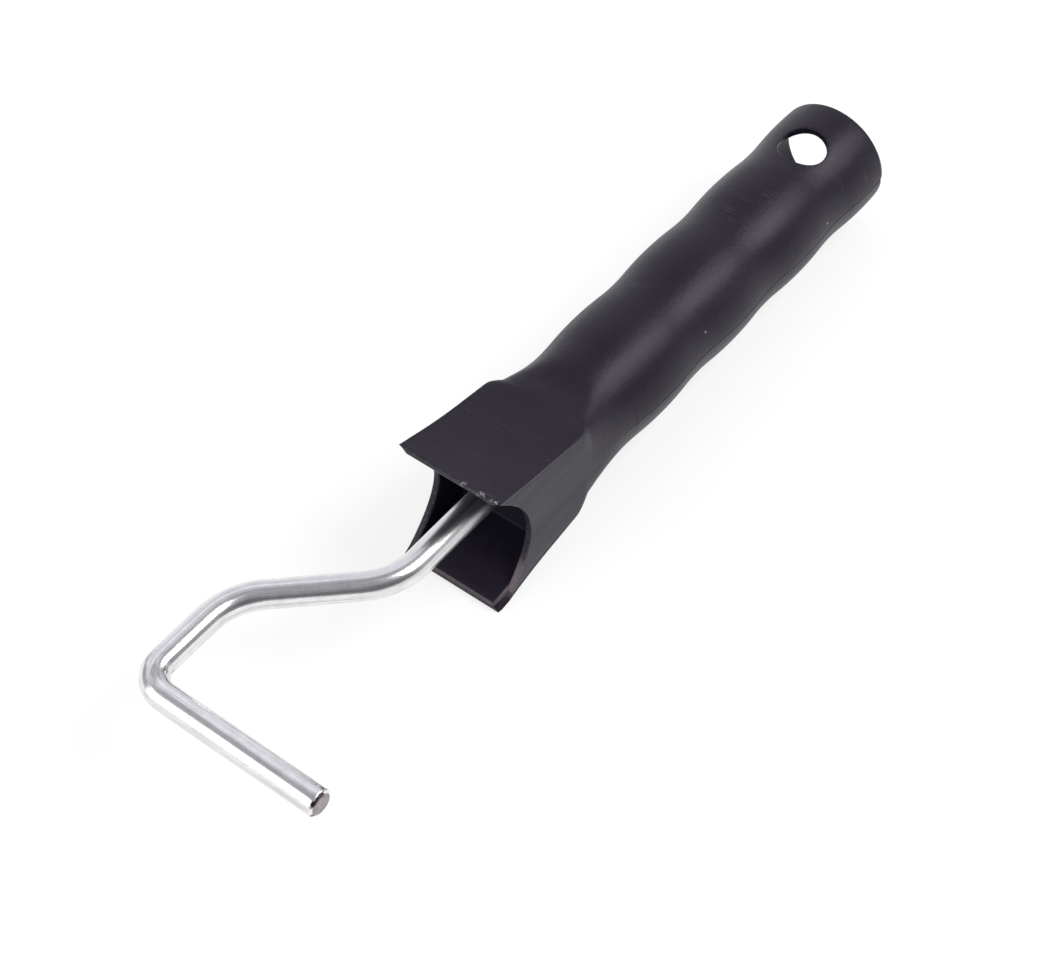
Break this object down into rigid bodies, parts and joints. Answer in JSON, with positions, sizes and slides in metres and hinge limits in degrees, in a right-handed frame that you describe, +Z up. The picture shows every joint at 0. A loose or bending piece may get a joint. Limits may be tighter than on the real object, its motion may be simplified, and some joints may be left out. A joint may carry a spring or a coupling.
{
  "type": "small roller frame",
  "caption": "Small roller frame: a bent round steel rod pressed into a hollow moulded grip with a flared, scooped mouth and a hanging hole.",
  "frame": {"origin": "bottom centre of the whole object's box, level with the lowest edge of the flared mouth", "axes": "+Y along the grip from its mouth to its open butt, +Z up and square to the plane the rod is bent in, +X the way the rod's free end points"},
  "size_m": [0.0478, 0.2062, 0.0348],
  "materials": {
    "moulded_plastic": "satin",
    "plated_steel": "polished"
  },
  "bodies": {
    "root": {"handle": "moulded_plastic", "rod": "plated_steel"}
  },
  "joints": []
}
